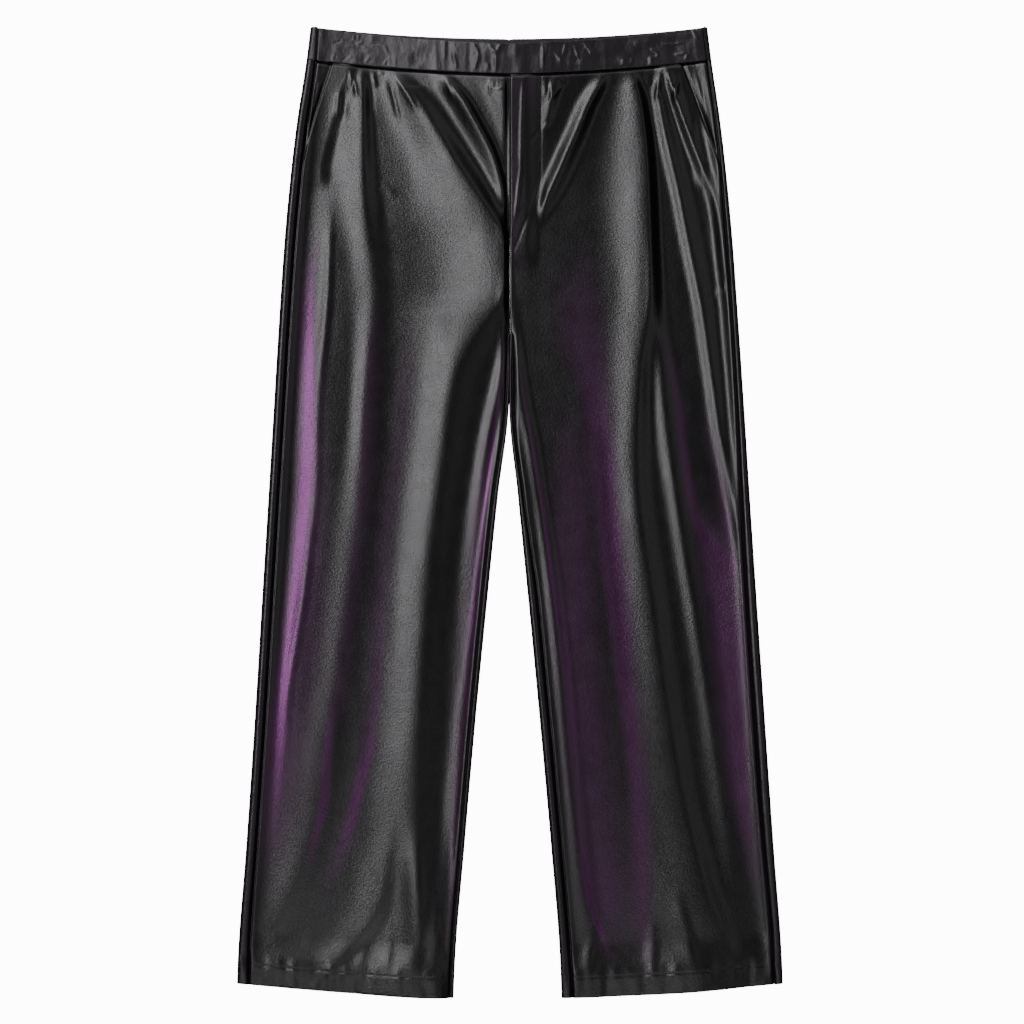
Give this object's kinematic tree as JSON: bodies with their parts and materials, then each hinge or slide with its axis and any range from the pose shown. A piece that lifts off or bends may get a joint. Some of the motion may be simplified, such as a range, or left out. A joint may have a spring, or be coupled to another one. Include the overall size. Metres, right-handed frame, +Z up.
{
  "type": "faux leather trousers",
  "caption": "Straight-leg faux leather trousers with an elasticated waistband, slant pockets and a fly stitched shut, laid out flat on their back.",
  "frame": {"origin": "centre of the underside, at the surface that the trousers lie on", "axes": "+X to the wearer's left, +Y from the hems to the waist, +Z up out of the front of the garment"},
  "size_m": [0.585, 1.04, 0.0175],
  "materials": {
    "faux_leather": "smooth black coated faux leather with a soft sheen and faint purple lights",
    "faux_leather_facing": "the same coated faux leather, in the shade of the pocket opening"
  },
  "bodies": {
    "root": {"front_right": "faux_leather", "front_left": "faux_leather", "back_right": "faux_leather", "back_left": "faux_leather", "waistband_front": "faux_leather", "waistband_back": "faux_leather", "pocket_facing_right": "faux_leather_facing", "pocket_facing_left": "faux_leather_facing"}
  },
  "joints": []
}
